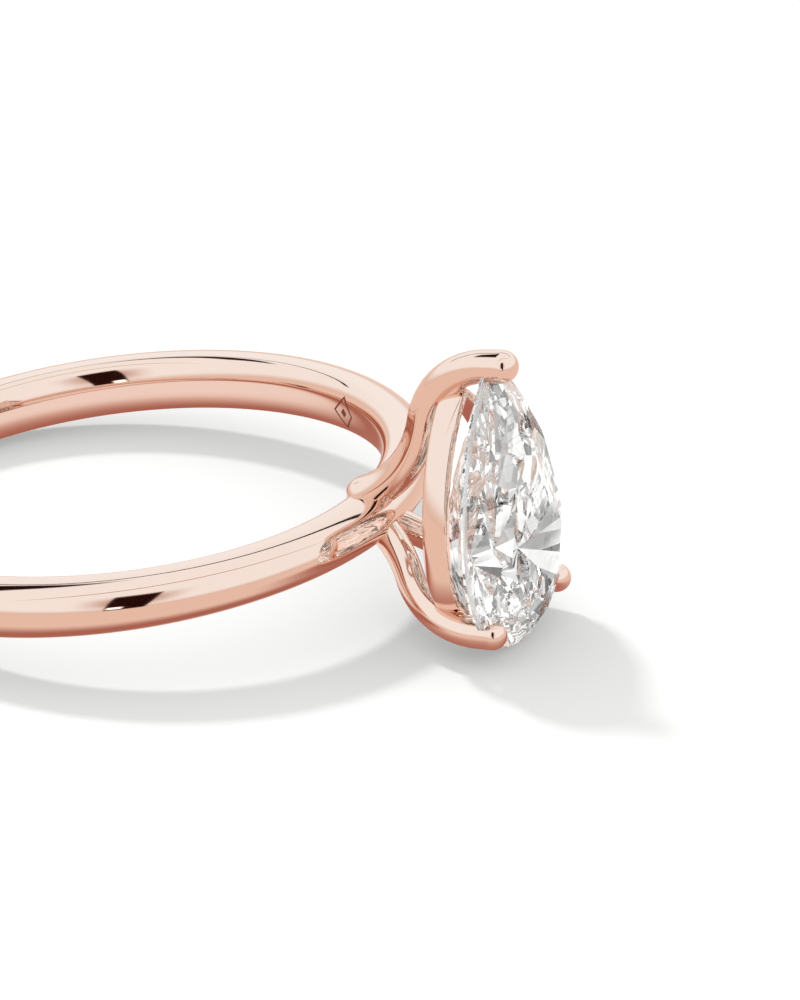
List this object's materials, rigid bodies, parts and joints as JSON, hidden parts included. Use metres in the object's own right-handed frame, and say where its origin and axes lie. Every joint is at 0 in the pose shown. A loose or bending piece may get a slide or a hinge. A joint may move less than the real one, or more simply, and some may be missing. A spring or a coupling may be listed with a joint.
{
  "type": "solitaire engagement ring",
  "caption": "Plain round-backed finger ring with a pear-shaped clear stone held over a gallery rail by round wire prongs.",
  "frame": {"origin": "centre of the finger hole, midway across the band's width", "axes": "+Z along the finger hole; +X from the hole's centre out through the stone; the stone's point is towards +Z"},
  "size_m": [0.0245, 0.0198, 0.0095],
  "materials": {
    "rose_gold": "mirror polish",
    "clear_stone": "faceted, polished"
  },
  "bodies": {
    "ring": {"shank": "rose_gold", "prong_point": "rose_gold", "prong_left": "rose_gold", "prong_right": "rose_gold", "gallery_rail": "rose_gold", "stone": "clear_stone"}
  },
  "joints": []
}
